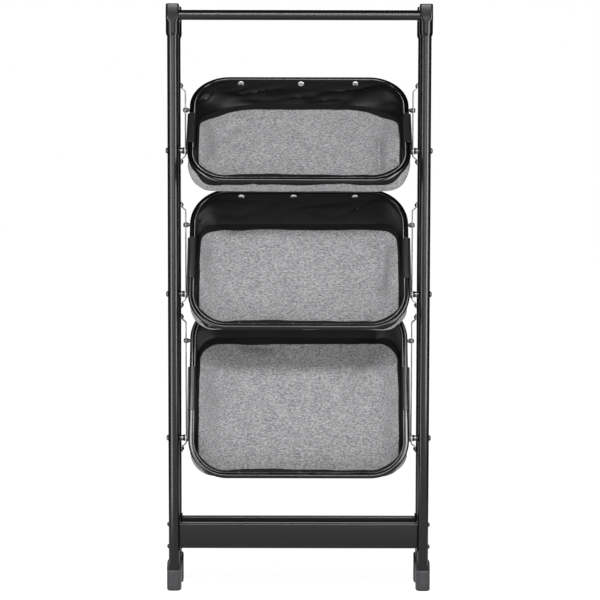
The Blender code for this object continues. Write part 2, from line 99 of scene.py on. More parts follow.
world = bpy.data.worlds.new("studio")
scene.world = world
world.use_nodes = True
tree = world.node_tree
tree.nodes.clear()
ray = add_node(tree, "ShaderNodeLightPath")
seen = ray.outputs["Is Camera Ray"]
for kind in ("Is Glossy Ray", "Is Transmission Ray"):
    seen = add_node(tree, "ShaderNodeMath", {"operation": "MAXIMUM"}, {0: seen, 1: ray.outputs[kind]}).outputs[0]
fill = add_node(tree, "ShaderNodeBackground", {"Color": colour("#ffffff"), "Strength": 0.25})
white = add_node(tree, "ShaderNodeBackground", {"Color": colour("#ffffff"), "Strength": 1})
mixed = add_node(tree, "ShaderNodeMixShader", {}, {0: seen, 1: fill.outputs[0], 2: white.outputs[0]})
add_node(tree, "ShaderNodeOutputWorld", {}, {"Surface": mixed.outputs[0]})

floor_paper = bpy.data.materials.new("white_paper_sweep")
floor_paper.use_nodes = True
tree = floor_paper.node_tree
tree.nodes.clear()
paper = add_node(tree, "ShaderNodeBsdfDiffuse", {"Color": colour("#e6e6e6")})
# The paper glows a little, and more where the camera sees it, so that no horizon shows against the white.
glow_everywhere, glow_seen = 0.58, 0.24
ray = add_node(tree, "ShaderNodeLightPath")
settings = {"operation": "MULTIPLY_ADD", 1: glow_seen, 2: glow_everywhere}
shine = add_node(tree, "ShaderNodeMath", settings, {0: ray.outputs["Is Camera Ray"]})
glow = add_node(tree, "ShaderNodeEmission", {"Color": colour("#ffffff")}, {"Strength": shine.outputs[0]})
added = add_node(tree, "ShaderNodeAddShader", {}, {0: paper.outputs[0], 1: glow.outputs[0]})
add_node(tree, "ShaderNodeOutputMaterial", {}, {"Surface": added.outputs[0]})
floor_mesh = bpy.data.meshes.new("floor")
floor_mesh.from_pydata([(-14, -9, 0), (14, -9, 0), (14, 18, 0), (-14, 18, 0)], [], [(0, 1, 2, 3)])
floor_mesh.materials.append(floor_paper)
floor = bpy.data.objects.new("floor", floor_mesh)
scene.collection.objects.link(floor)
floor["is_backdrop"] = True


def add_softbox(name, place, target, width, height, power, lights_all=True):
    """A flat lamp that faces its target. One that doesn't light all shows only in reflections."""
    light = bpy.data.lights.new(name, "AREA")
    light.shape = "RECTANGLE"
    light.size, light.size_y = width, height
    light.energy = power
    lamp = bpy.data.objects.new(name, light)
    scene.collection.objects.link(lamp)
    lamp.location = place
    lamp.rotation_euler = (Vector(target) - Vector(place)).to_track_quat("-Z", "Y").to_euler()
    lamp.visible_camera = False
    lamp.visible_diffuse = lights_all


add_softbox("over_camera", (0, -3.2, 2.7), (0, 0, 0.7), 2.4, 0.45, 88)
add_softbox("over_camera_sheen", (0, -3.2, 2.42), (0, 0, 0.9), 3.2, 0.50, 92, False)
add_softbox("front_key", (-0.9, -3.9, 1.00), (0, 0, 0.6), 0.9, 1.1, 12)
add_softbox("front_centre", (0.45, front_y - 4.0, 0.92), (0.0, front_y, 0.7), 0.9, 1.1, 25, False)
add_softbox("left_strip", (-0.47, front_y - 0.28, 0.62), (0.0, front_y, 0.62), 0.13, 1.06, 6.4, False)
add_softbox("right_strip", (0.69, front_y - 0.46, 0.76), (0.0, front_y, 0.76), 0.26, 1.00, 15, False)


def new_material(name, constants):
    """Starts a material, with its constants on the shader's own sockets, and gives it with its node tree and shader."""
    material = bpy.data.materials.new(name)
    material.use_nodes = True
    shader = material.node_tree.nodes["Principled BSDF"]
    for socket, value in constants.items():
        shader.inputs[socket].default_value = value
    return material, material.node_tree, shader


# Black cards stand at both sides and hang overhead, so that the tubes' edges stay dark against the white.
black_card, _, _ = new_material("black_card", {"Base Color": colour("#0a0a0a"), "Specular IOR Level": 0})
card_front, card_rear, card_low, card_high = front_y - 0.15, 4, 0.001, 2.6
card_corners = {}
for card_name, x in (("left_card", -1.0), ("right_card", 1.0)):
    outline = ((card_front, card_low), (card_rear, card_low), (card_rear, card_high), (card_front, card_high))
    card_corners[card_name] = [(x, y, z) for y, z in outline]
card_corners["ceiling_card"] = [(-2.0, -1.4, 2.8), (2.0, -1.4, 2.8), (2.0, 5.0, 2.8), (-2.0, 5.0, 2.8)]
for card_name, corners in card_corners.items():
    card_mesh = bpy.data.meshes.new(card_name)
    card_mesh.from_pydata(corners, [], [(0, 1, 2, 3)])
    card_mesh.materials.append(black_card)
    card = bpy.data.objects.new(card_name, card_mesh)
    scene.collection.objects.link(card)
    card.visible_camera = card.visible_diffuse = card.visible_shadow = card.visible_transmission = False
    card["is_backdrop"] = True


# Legs and carrying bar: drawn steel tube, powder coated black. The coat's fine orange peel breaks the reflections
# into soft bands.
powder_coat, tree, shader = new_material(
    "black_powder_coated_steel", {"Base Color": colour("#111112"), "Roughness": 0.25, "Specular IOR Level": 0.28}
)
place = add_node(tree, "ShaderNodeTexCoord").outputs["Object"]
# The peel's bumps are 0.8 mm across and less than 0.02 mm high.
peel = add_node(tree, "ShaderNodeTexNoise", {"Scale": 1 / 0.0008, "Detail": 2}, {"Vector": place})
bump = add_node(tree, "ShaderNodeBump", {"Strength": 0.12, "Distance": 0.00002}, {"Height": peel.outputs["Fac"]})
tree.links.new(bump.outputs["Normal"], shader.inputs["Normal"])

frames = {"front": front_y, "rear": rear_y}
sides = {"left": -1, "right": 1}
leg_x = 0.2512
leg_radius = 0.011
leg_wall = 0.0012
tube_steps = 64
sharp_edge = math.radians(38)


def make_piece(name, mesh_work, finishes, placed=None):
    """Turns the worked faces into a smooth piece, with all of them pointing out."""
    bmesh.ops.recalc_face_normals(mesh_work, faces=mesh_work.faces)
    mesh = bpy.data.meshes.new(name)
    mesh_work.to_mesh(mesh)
    mesh_work.free()
    if placed is not None:
        mesh.transform(placed)
    mesh.shade_smooth()
    mesh.set_sharp_from_angle(angle=sharp_edge)
    for finish in finishes:
        mesh.materials.append(finish)
    piece = bpy.data.objects.new(name, mesh)
    scene.collection.objects.link(piece)
    return piece


def fit(piece, body, slot, *nodes):
    """Lets a piece ride on its body, and hides the nodes that it stands for. The slot is not used."""
    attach(piece, body)
    if nodes:
        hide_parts(*nodes)


def skin(mesh_work, rings, closed=False):
    """Joins rings of points with faces. A closed skin runs back to its first ring, and an open one is capped."""
    loops = [[mesh_work.verts.new(point) for point in ring] for ring in rings]
    pairs = list(zip(loops, loops[1:])) + ([(loops[-1], loops[0])] if closed else [])
    made = []
    for low, high in pairs:
        for i in range(len(low)):
            j = (i + 1) % len(low)
            made.append(mesh_work.faces.new((low[i], low[j], high[j], high[i])))
    if not closed:
        made.append(mesh_work.faces.new(loops[0]))
        made.append(mesh_work.faces.new(loops[-1]))
    return made


def turn_profile(mesh_work, along, start, profile, steps, closed=False):
    """A lathe shape round an axis. The profile lists (distance from the start, radius)."""
    rings = []
    for way, radius in profile:
        ring = []
        for i in range(steps):
            angle = math.tau * i / steps
            a, b = radius * math.cos(angle), radius * math.sin(angle)
            offset = {"x": (way, a, b), "y": (a, way, b), "z": (a, b, way)}[along]
            ring.append(Vector(start) + Vector(offset))
        rings.append(ring)
    skin(mesh_work, rings, closed)


leg_low, leg_high = (corner.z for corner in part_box("front_leg_left"))
inside, length = leg_radius - leg_wall, leg_high - leg_low
profile = [(0, leg_radius), (length, leg_radius), (length, inside), (0, inside)]
for frame_name, y in frames.items():
    for side_name, side in sides.items():
        work = bmesh.new()
        turn_profile(work, "z", (side * leg_x, y, leg_low), profile, tube_steps, closed=True)
        leg = make_piece(f"{frame_name}_leg_tube_{side_name}", work, [powder_coat])
        fit(leg, f"{frame_name}_frame", "frame_paint", f"{frame_name}_leg_{side_name}")

bar_low, bar_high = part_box("carrying_bar")
bar_z = (bar_low.z + bar_high.z) / 2
bar_radius, bar_inside = 0.010, 0.0088
work = bmesh.new()
profile = [(bar_low.x, bar_radius), (bar_high.x, bar_radius), (bar_high.x, bar_inside), (bar_low.x, bar_inside)]
turn_profile(work, "x", (0, front_y, bar_z), profile, tube_steps, closed=True)
bar = make_piece("carrying_bar_tube", work, [powder_coat])
fit(bar, "front_frame", "frame_paint", "carrying_bar")


# Leg caps: black nylon mouldings pushed over the legs, round below and flat-faced above, where the front pair takes
# the ends of the carrying bar. The skin is a fine spark-eroded grain, which spreads the light on it.
cap_nylon, tree, shader = new_material(
    "moulded_black_nylon", {"Base Color": colour("#111112"), "Roughness": 0.20, "Specular IOR Level": 0.2}
)
place = add_node(tree, "ShaderNodeTexCoord").outputs["Object"]
# The grain's pits are 0.6 mm across, coarser than the real 0.1 mm, so that they show.
grain = add_node(tree, "ShaderNodeTexNoise", {"Scale": 1 / 0.0006, "Detail": 3}, {"Vector": place})
bump = add_node(tree, "ShaderNodeBump", {"Strength": 0.4, "Distance": 0.00005}, {"Height": grain.outputs["Fac"]})
tree.links.new(bump.outputs["Normal"], shader.inputs["Normal"])

cap_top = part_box("front_cap_left")[1].z
cap_low = cap_top - 0.063
cap_crown = 0.006
cap_radius, cap_bore = 0.0135, leg_radius + 0.0003
cap_edge = 0.0022
cap_draft = 0.0012
blend_from, blend_rise = cap_top - 0.036, 0.012
round_shape, square_shape = 2, 6


def soft_square(x, y, reach_x, reach_y, squareness):
    """Points round an upright axis: an ellipse at a squareness of 2, and squarer above it."""
    points = []
    steps = 64
    for i in range(steps):
        angle = math.tau * i / steps
        c, s = math.cos(angle), math.sin(angle)
        reach = (abs(c) ** squareness + abs(s) ** squareness) ** (-1 / squareness)
        points.append((x + reach_x * reach * c, y + reach_y * reach * s))
    return points


# Heights up the cap, each with its reach, its squareness and how far its faces draw in: the bore, the lip, the round
# part, the blend to the square part, and the edge of the crown.
stations = [(cap_top - cap_crown, cap_bore, round_shape, 0), (cap_low + 0.0004, cap_bore, round_shape, 0)]
stations += [(cap_low, cap_bore + 0.0003, round_shape, 0), (cap_low + 0.0003, cap_bore + 0.0008, round_shape, 0)]
stations += [(cap_low + 0.005, cap_radius - 0.0001, round_shape, 0), (cap_low + 0.007, cap_radius, round_shape, 0)]
for step in range(7):
    blend = step / 6
    ease = blend * blend * (3 - 2 * blend)
    squareness = round_shape + (square_shape - round_shape) * ease
    stations.append((blend_from + blend_rise * blend, cap_radius, squareness, 0))
for step in range(5):
    angle = math.pi / 2 * step / 4
    height = cap_top - cap_edge * (1 - math.sin(angle))
    stations.append((height, cap_radius - cap_edge * (1 - math.cos(angle)), square_shape, cap_draft))

for frame_name, y in frames.items():
    for side_name, side in sides.items():
        work = bmesh.new()
        rings = []
        for z, reach, squareness, draft in stations:
            outline = soft_square(side * leg_x, y, reach - draft / 3, reach - draft, squareness)
            rings.append([(px, py, z) for px, py in outline])
        skin(work, rings)
        cap = make_piece(f"{frame_name}_leg_cap_{side_name}", work, [cap_nylon])
        fit(cap, f"{frame_name}_frame", "cap_plastic", f"{frame_name}_cap_{side_name}")


# Feet: charcoal rubber boots, moulded with soft corners, lower at the front than behind. The rubber is dull, with a
# pale bloom on it.
foot_rubber, tree, shader = new_material("moulded_charcoal_rubber", {"Roughness": 0.46})
place = add_node(tree, "ShaderNodeTexCoord").outputs["Object"]
# The bloom lies in clouds 12 mm across.
bloom = add_node(tree, "ShaderNodeTexNoise", {"Scale": 1 / 0.012, "Detail": 4}, {"Vector": place})
ramp = add_node(tree, "ShaderNodeValToRGB", {}, {0: bloom.outputs["Fac"]})
dark, pale = ramp.color_ramp.elements
dark.position, dark.color = 0.35, colour("#232427")
pale.position, pale.color = 0.7, colour("#2c2d30")
tree.links.new(ramp.outputs[0], shader.inputs["Base Color"])
# The grain is drawn at 0.7 mm, coarser than the real 0.1 mm, so that it shows.
grain = add_node(tree, "ShaderNodeTexNoise", {"Scale": 1 / 0.0007, "Detail": 2}, {"Vector": place})
bump = add_node(tree, "ShaderNodeBump", {"Strength": 0.5, "Distance": 0.00008}, {"Height": grain.outputs["Fac"]})
tree.links.new(bump.outputs["Normal"], shader.inputs["Normal"])

foot_half_width, foot_half_depth = 0.0145, 0.0155
foot_front_height, foot_rear_height = 0.042, 0.061
foot_squareness = 3.6
sole_draw, sole_rise = 0.0045, 0.0035
foot_lip = 0.0012
foot_bore, foot_bore_depth = leg_radius + 0.0003, 0.012


def foot_height(along, front_height, rear_height):
    """The height at a place along the foot, which rises softly from front to rear."""
    share = along / (2 * foot_half_depth) + 0.5
    ease = share * share * (3 - 2 * share)
    return front_height + (rear_height - front_height) * ease


def foot_ring(x, y, draw_in, front_height, rear_height):
    """A soft rectangle round the leg, at the slope of the foot."""
    outline = soft_square(x, y, foot_half_width - draw_in, foot_half_depth - draw_in, foot_squareness)
    return [(px, py, foot_height(py - y, front_height, rear_height)) for px, py in outline]


for frame_name, y in frames.items():
    for side_name, side in sides.items():
        x = side * leg_x
        rings = [foot_ring(x, y, sole_draw, 0, 0)]
        for step in range(1, 6):
            angle = math.pi / 2 * step / 5
            height = sole_rise * (1 - math.cos(angle))
            rings.append(foot_ring(x, y, sole_draw * (1 - math.sin(angle)), height, height))
        for share in (0.3, 0.6, 0.9):
            rings.append(foot_ring(x, y, 0, foot_front_height * share, foot_rear_height * share))
        for step in range(5):
            angle = math.pi / 2 * step / 4
            drop = foot_lip * (1 - math.sin(angle))
            draw_in = foot_lip * (1 - math.cos(angle))
            rings.append(foot_ring(x, y, draw_in, foot_front_height - drop, foot_rear_height - drop))
        for drop in (0, foot_bore_depth):
            ring = []
            for px, py in soft_square(x, y, foot_bore, foot_bore, round_shape):
                ring.append((px, py, foot_height(py - y, foot_front_height, foot_rear_height) - drop))
            rings.append(ring)
        work = bmesh.new()
        skin(work, rings)
        foot = make_piece(f"{frame_name}_boot_{side_name}", work, [foot_rubber])
        fit(foot, f"{frame_name}_frame", "foot_rubber", f"{frame_name}_foot_{side_name}")


# Cross plates: channels folded from sheet steel, open to the rear, powder coated with the legs. Lugs at the ends are
# riveted through the legs, and only the rivets' domes show outside.
plate_low, plate_high = 0.0856, 0.1370
plate_half_depth = 0.006
sheet = 0.0015
bend = 0.0032
leg_inner_x, leg_outer_x = leg_x - leg_radius, leg_x + leg_radius
plate_half_width = leg_inner_x - 0.0010
lug_inner_x, lug_outer_x = leg_inner_x - 0.0018, leg_inner_x - 0.0003
lug_corner = 0.002
lug_rise = 0.006 - lug_corner
rivet_inset = 0.0033
rivet_radius, rivet_height = 0.0045, 0.0030


def channel_section():
    """The folded section, as (depth, height) points with rounded bends: the outside, then back along the inside."""
    outside, inside = [(plate_half_depth, plate_low)], [(plate_half_depth, plate_low + sheet)]
    for centre_z, start in ((plate_low + bend, 270), (plate_high - bend, 180)):
        for step in range(7):
            angle = math.radians(start - 90 * step / 6)
            c, s = math.cos(angle), math.sin(angle)
            outside.append((bend - plate_half_depth + bend * c, centre_z + bend * s))
            inside.append((bend - plate_half_depth + (bend - sheet) * c, centre_z + (bend - sheet) * s))
    outside.append((plate_half_depth, plate_high))
    inside.append((plate_half_depth, plate_high - sheet))
    return outside + inside[::-1]


def dome_profile(base, radius, height, way=1):
    """The profile of a domed head that starts at base and swells outwards, or inwards with a way of -1."""
    profile = []
    for step in range(7):
        angle = math.radians(84) * step / 6
        profile.append((base + way * height * math.sin(angle), radius * math.cos(angle)))
    return profile


def on_side(side, profile):
    """Turns a profile that runs outwards from the rack's middle to its left or right."""
    return [(side * way, radius) for way, radius in profile]


rivet_seat = leg_outer_x + 0.0002
rivet_profile = [(leg_outer_x - 0.001, rivet_radius), (rivet_seat, rivet_radius)]
rivet_profile += dome_profile(rivet_seat, rivet_radius, rivet_height)
lug_centres = [(1, plate_high + lug_rise, 0), (-1, plate_high + lug_rise, 90)]
lug_centres += [(-1, plate_low - lug_rise, 180), (1, plate_low - lug_rise, 270)]
for frame_name, y in frames.items():
    work = bmesh.new()
    ends = (-plate_half_width, plate_half_width)
    skin(work, [[(x, y + depth, z) for depth, z in channel_section()] for x in ends])
    for side in sides.values():
        lug = []
        for way, centre_z, start in lug_centres:
            centre_y = y + way * (plate_half_depth - lug_corner)
            for step in range(5):
                angle = math.radians(start + 90 * step / 4)
                lug.append((centre_y + lug_corner * math.cos(angle), centre_z + lug_corner * math.sin(angle)))
        skin(work, [[(side * x, ly, lz) for ly, lz in lug] for x in (lug_inner_x, lug_outer_x)])
        for z in (plate_low + rivet_inset, plate_high - rivet_inset):
            turn_profile(work, "x", (0, y, z), on_side(side, rivet_profile), 32)
    plate = make_piece(f"{frame_name}_channel_plate", work, [powder_coat])
    fit(plate, f"{frame_name}_frame", "frame_paint", f"{frame_name}_cross_plate")


# Slotted guides: thin steel strips bent like a bridge and riveted to the rear legs' inner faces. A stud on each
# basket rides in the slot. The strip is zinc plated, then blackened, which leaves a cloudy dark metal.
guide_steel, tree, shader = new_material("blackened_zinc_plated_steel", {"Metallic": 1.0, "Roughness": 0.36})
place = add_node(tree, "ShaderNodeTexCoord").outputs["Object"]
# The clouds are 9 mm across.
cloud = add_node(tree, "ShaderNodeTexNoise", {"Scale": 1 / 0.009, "Detail": 5}, {"Vector": place})
ramp = add_node(tree, "ShaderNodeValToRGB", {}, {0: cloud.outputs["Fac"]})
dark, pale = ramp.color_ramp.elements
dark.position, dark.color = 0.3, colour("#4f4f50")
pale.position, pale.color = 0.7, colour("#6b6b6c")
tree.links.new(ramp.outputs[0], shader.inputs["Base Color"])

guide_half_width = 0.008
guide_sheet = 0.002
guide_tiers = {
    "top": {"upper": 1.017, "lower": 0.864, "slot_low": 0.9698, "slot_high": 0.9902},
    "middle": {"upper": 0.7763, "lower": 0.5724, "slot_low": 0.7374, "slot_high": 0.7503},
    "bottom": {"upper": 0.548, "lower": 0.2768, "slot_low": 0.5008, "slot_high": 0.5100},
}
guide_tab_x = leg_inner_x - 0.0003
guide_face_x = guide_tab_x - 0.0083
slot_radius = 0.0045
tab_root, tab_end, tab_corner, guide_slant = 0.0045, 0.0040, 0.002, 0.007
fan = 16


def guide_row(mesh_work, side, y, x, z, corner):
    """A row of points across the strip, with its ends drawn in by a rounded corner."""
    row = []
    for i in range(fan // 2 + 1):
        angle = math.radians(45 + 90 * i / (fan // 2))
        row.append(mesh_work.verts.new((side * x, y + guide_half_width / math.tan(angle) * (1 - corner), z)))
    return row


def guide_rows(rivet, way):
    """Rows from the slot's end to the strip's end, as x, z and corner, past two bends with rounded knees."""
    foot = rivet - way * tab_root
    knee = foot - way * guide_slant
    face_bend = ((0, -0.0012), (0.0002, -0.0003), (0.0009, 0.0007))
    tab_bend = ((0.0009, -0.0007), (0.0002, 0.0003), (0, 0.0012))
    rows = [(guide_face_x + out, knee + way * up, 0) for out, up in face_bend]
    rows += [(guide_tab_x - back, foot + way * up, 0) for back, up in tab_bend]
    rows += [(guide_tab_x, rivet, 0), (guide_tab_x, rivet + way * tab_end, 0)]
    for step in range(1, 4):
        angle = math.pi / 2 * step / 3
        height = rivet + way * (tab_end + tab_corner * math.sin(angle))
        rows.append((guide_tab_x, height, tab_corner / guide_half_width * (1 - math.cos(angle))))
    return rows


guide_rivet_seat, guide_rivet_radius = guide_tab_x - guide_sheet, 0.0042
guide_rivet = [(guide_rivet_seat + 0.001, guide_rivet_radius), (guide_rivet_seat, guide_rivet_radius)]
guide_rivet += dome_profile(guide_rivet_seat, guide_rivet_radius, rivet_height, -1)
for tier_name, tier in guide_tiers.items():
    for side_name, side in sides.items():
        work = bmesh.new()
        x = side * guide_face_x
        loops = {}
        for end, centre, way in (("high", tier["slot_high"], 1), ("low", tier["slot_low"], -1)):
            inner, outer = [], []
            for i in range(fan + 1):
                angle = math.pi * i / fan
                c, s = math.cos(angle), math.sin(angle)
                reach = guide_half_width / max(abs(c), abs(s))
                inner.append(work.verts.new((x, rear_y + slot_radius * c, centre + way * slot_radius * s)))
                outer.append(work.verts.new((x, rear_y + reach * c, centre + way * reach * s)))
            for i in range(fan):
                work.faces.new((inner[i], inner[i + 1], outer[i + 1], outer[i]))
            loops[end] = (inner, outer)
        for i in (0, fan):
            high, low = loops["high"], loops["low"]
            work.faces.new((high[0][i], high[1][i], low[1][i], low[0][i]))
        for end, rivet, way in (("high", tier["upper"], 1), ("low", tier["lower"], -1)):
            last = loops[end][1][fan // 4 : 3 * fan // 4 + 1]
            for row_x, z, corner in guide_rows(rivet, way):
                row = guide_row(work, side, rear_y, row_x, z, corner)
                for i in range(len(row) - 1):
                    work.faces.new((last[i], last[i + 1], row[i + 1], row[i]))
                last = row
        strip = make_piece(f"{tier_name}_slotted_strip_{side_name}", work, [guide_steel])
        outward = sum(face.normal.x * side for face in strip.data.polygons if abs(face.normal.x) > 0.9)
        thick = strip.modifiers.new("sheet", "SOLIDIFY")
        thick.thickness = guide_sheet
        thick.offset = -1 if outward > 0 else 1
        thick.use_even_offset = True
        fit(strip, "rear_frame", "guide_steel", f"{tier_name}_guide_{side_name}")
        work = bmesh.new()
        for z in (tier["upper"], tier["lower"]):
            turn_profile(work, "x", (0, rear_y, z), on_side(side, guide_rivet), 32)
        rivets = make_piece(f"{tier_name}_strip_rivets_{side_name}", work, [powder_coat])
        fit(rivets, "rear_frame", "guide_steel")


# Basket rims: thinner steel tube bent to a rounded rectangle, whose two ends meet inside the joiners. It is coated
# gloss black, which takes one sharp line of light.
rim_gloss, tree, shader = new_material(
    "gloss_black_coated_tube", {"Base Color": colour("#0b0b0c"), "Roughness": 0.12, "Specular IOR Level": 0.25}
)
place = add_node(tree, "ShaderNodeTexCoord").outputs["Object"]
# The peel is as wide as on the legs, 0.8 mm, but flatter.
peel = add_node(tree, "ShaderNodeTexNoise", {"Scale": 1 / 0.0008, "Detail": 2}, {"Vector": place})
bump = add_node(tree, "ShaderNodeBump", {"Strength": 0.08, "Distance": 0.00002}, {"Height": peel.outputs["Fac"]})
tree.links.new(bump.outputs["Normal"], shader.inputs["Normal"])

rim_half_width = 0.217
rim_radius = 0.00525
rim_corner = 0.074
frame_spacing = rear_y - front_y
basket_tiers = {
    "top": {"pivot": 0.886, "stud": 0.968, "depth": 0.278, "offset": 0.060, "sleeve": 0.080},
    "middle": {"pivot": 0.600, "stud": 0.7356, "depth": 0.304, "offset": 0.080, "sleeve": 0.091},
    "bottom": {"pivot": 0.310, "stud": 0.499, "depth": 0.360, "offset": 0.102, "sleeve": 0.091},
}
for tier in basket_tiers.values():
    rise = tier["stud"] - tier["pivot"]
    tier["stud_distance"] = math.hypot(frame_spacing, rise)
    tilt = Matrix.Rotation(math.atan2(rise, frame_spacing), 4, "X")
    tier["placed"] = Matrix.Translation((0, front_y, tier["pivot"])) @ tilt
    tier["front"] = tier["offset"] - tier["depth"] / 2
    tier["rear"] = tier["offset"] + tier["depth"] / 2


def rounded_outline(half_width, front, rear, front_corner, rear_corner, corner_steps, level_steps, side_steps):
    """Points round a rounded rectangle, with elliptical corners given as (across, along)."""
    points = []
    quarters = (
        (half_width - rear_corner[0], rear - rear_corner[1], rear_corner, 0),
        (-half_width + rear_corner[0], rear - rear_corner[1], rear_corner, 90),
        (-half_width + front_corner[0], front + front_corner[1], front_corner, 180),
        (half_width - front_corner[0], front + front_corner[1], front_corner, 270),
    )
    for number, (x, y, (across, along), start) in enumerate(quarters):
        for step in range(corner_steps + 1):
            angle = math.radians(start + 90 * step / corner_steps)
            points.append((x + across * math.cos(angle), y + along * math.sin(angle)))
        steps = level_steps if number % 2 == 0 else side_steps
        next_x, next_y, (next_across, next_along), next_start = quarters[(number + 1) % 4]
        angle = math.radians(next_start)
        end = (next_x + next_across * math.cos(angle), next_y + next_along * math.sin(angle))
        last = points[-1]
        for step in range(1, steps):
            share = step / steps
            points.append((last[0] + (end[0] - last[0]) * share, last[1] + (end[1] - last[1]) * share))
    return points


def outward_ways(outline):
    """The outward direction at each point of a flat outline that runs anticlockwise."""
    ways = []
    for i in range(len(outline)):
        (x0, y0), (x1, y1) = outline[i - 1], outline[(i + 1) % len(outline)]
        length = math.hypot(x1 - x0, y1 - y0) or 1
        ways.append(((y1 - y0) / length, -(x1 - x0) / length))
    return ways


def tube_round(mesh_work, outline, radius, steps):
    """A tube that follows a closed outline in the rim's plane."""
    rings = []
    for (x, y), (out_x, out_y) in zip(outline, outward_ways(outline)):
        ring = []
        for i in range(steps):
            angle = math.tau * i / steps
            reach = radius * math.cos(angle)
            ring.append((x + out_x * reach, y + out_y * reach, radius * math.sin(angle)))
        rings.append(ring)
    skin(mesh_work, rings, closed=True)


bend_radius = (rim_corner, rim_corner)
for tier_name, tier in basket_tiers.items():
    outline = rounded_outline(rim_half_width, tier["front"], tier["rear"], bend_radius, bend_radius, 20, 8, 6)
    work = bmesh.new()
    tube_round(work, outline, rim_radius, 24)
    rim = make_piece(f"{tier_name}_rim_tube", work, [rim_gloss], tier["placed"])
    fit(rim, f"{tier_name}_basket", "frame_paint", f"{tier_name}_rim_front", f"{tier_name}_rim_rear")


# Rim joiners: a dark grey plastic sleeve slipped over the tube's two ends, moulded with a flat strip on its outer
# side that reaches down to the pivot bolt. Its moulded grain gives it a satin sheen beside the glossy tube.
joiner_plastic, tree, shader = new_material(
    "moulded_dark_grey_polypropylene", {"Base Color": colour("#29292b"), "Roughness": 0.32, "Specular IOR Level": 0.25}
)
place = add_node(tree, "ShaderNodeTexCoord").outputs["Object"]
# The grain is drawn at 0.6 mm, coarser than the real 0.1 mm, so that it shows.
grain = add_node(tree, "ShaderNodeTexNoise", {"Scale": 1 / 0.0006, "Detail": 3}, {"Vector": place})
bump = add_node(tree, "ShaderNodeBump", {"Strength": 0.3, "Distance": 0.00004}, {"Height": grain.outputs["Fac"]})
tree.links.new(bump.outputs["Normal"], shader.inputs["Normal"])

sleeve_bore, sleeve_radius = 0.00555, 0.00675
strip_inner_x, strip_outer_x = 0.22255, 0.22535
strip_half_width = 0.006
strip_end = -0.002
edge = 0.0004
sleeve_end = [(0.0003, sleeve_bore), (0, sleeve_bore + 0.0003), (0, sleeve_radius - edge), (edge, sleeve_radius)]
strip_layers = [(strip_inner_x, edge), (strip_inner_x + edge, 0), (strip_outer_x - edge, 0), (strip_outer_x, edge)]
for tier_name, tier in basket_tiers.items():
    for side_name, side in sides.items():
        length = tier["sleeve"]
        low = tier["offset"] - length / 2
        profile = sleeve_end + [(length - way, radius) for way, radius in reversed(sleeve_end)]
        work = bmesh.new()
        turn_profile(work, "y", (side * rim_half_width, low, 0), profile, 32, closed=True)
        strip = []
        for start, centre in ((0, low + length - strip_half_width), (180, strip_end)):
            for step in range(13):
                angle = math.radians(start + 180 * step / 12)
                strip.append((centre + strip_half_width * math.sin(angle), strip_half_width * math.cos(angle)))
        middle = (low + length) / 2
        rings = []
        for x, draw_in in strip_layers:
            along, across = 1 - draw_in / (length / 2), 1 - draw_in / strip_half_width
            rings.append([(side * x, middle + (y - middle) * along, z * across) for y, z in strip])
        skin(work, rings)
        joiner = make_piece(f"{tier_name}_rim_sleeve_{side_name}", work, [joiner_plastic], tier["placed"])
        fit(joiner, f"{tier_name}_basket", "joiner_plastic", f"{tier_name}_rim_joiner_{side_name}")


# Fasteners: blackened steel pivot bolts through the front legs, with a black spacer and a pale nylon washer on each,
# and shouldered studs on the rims that run in the slotted strips.
fastener_steel, tree, shader = new_material("blackened_steel", {"Metallic": 1.0, "Roughness": 0.33})
place = add_node(tree, "ShaderNodeTexCoord").outputs["Object"]
# Blackened steel has a dull shine, with clouds 3 mm across.
cloud = add_node(tree, "ShaderNodeTexNoise", {"Scale": 1 / 0.003, "Detail": 4}, {"Vector": place})
ramp = add_node(tree, "ShaderNodeValToRGB", {}, {0: cloud.outputs["Fac"]})
dark, pale = ramp.color_ramp.elements
dark.position, dark.color = 0.35, colour("#39393a")
pale.position, pale.color = 0.65, colour("#4c4c4e")
tree.links.new(ramp.outputs[0], shader.inputs["Base Color"])

# Undyed nylon is milky and lets a little light through.
washer_nylon, _, _ = new_material(
    "natural_nylon",
    {
        "Base Color": colour("#d8d7d2"),
        "Roughness": 0.45,
        "Subsurface Weight": 0.15,
        "Subsurface Radius": (0.001, 0.001, 0.001),
    },
)

# Profiles outwards from the rack's middle: the bolt, the washer, and the spacer with a steel collar round its waist.
bolt_radius, bolt_head, bolt_head_radius = 0.0025, leg_outer_x + 0.0003, 0.0059
bolt_profile = [(rim_half_width + 0.0015, bolt_radius), (bolt_head, bolt_radius), (bolt_head, bolt_head_radius)]
bolt_profile += [(bolt_head + 0.0005, bolt_head_radius)] + dome_profile(bolt_head + 0.0005, bolt_head_radius, 0.0031)

bore = 0.0029
nose = strip_outer_x + 0.0003
shoulder = nose + 0.0028
washer_profile = [(nose, bore), (nose, 0.0042), (nose + 0.0003, 0.0045)]
washer_profile += [(shoulder - 0.0003, 0.0045), (shoulder, 0.0042), (shoulder, bore)]

spacer_radius, spacer_edge, groove_radius = 0.0068, 0.0062, 0.0046
back = leg_inner_x - 0.0003
waist = (shoulder + back) / 2
spacer_profile = [(shoulder + 0.0001, bore), (shoulder + 0.0001, spacer_edge), (shoulder + 0.0006, spacer_radius)]
spacer_profile += [(waist - 0.0026, spacer_radius), (waist - 0.0022, groove_radius)]
spacer_profile += [(waist + 0.0022, groove_radius), (waist + 0.0026, spacer_radius)]
spacer_profile += [(back - 0.0005, spacer_radius), (back, spacer_edge), (back, bore)]
collar_profile = [(waist - 0.0021, groove_radius), (waist - 0.0021, 0.0054), (waist - 0.0018, 0.0057)]
collar_profile += [(waist + 0.0018, 0.0057), (waist + 0.0021, 0.0054), (waist + 0.0021, groove_radius)]

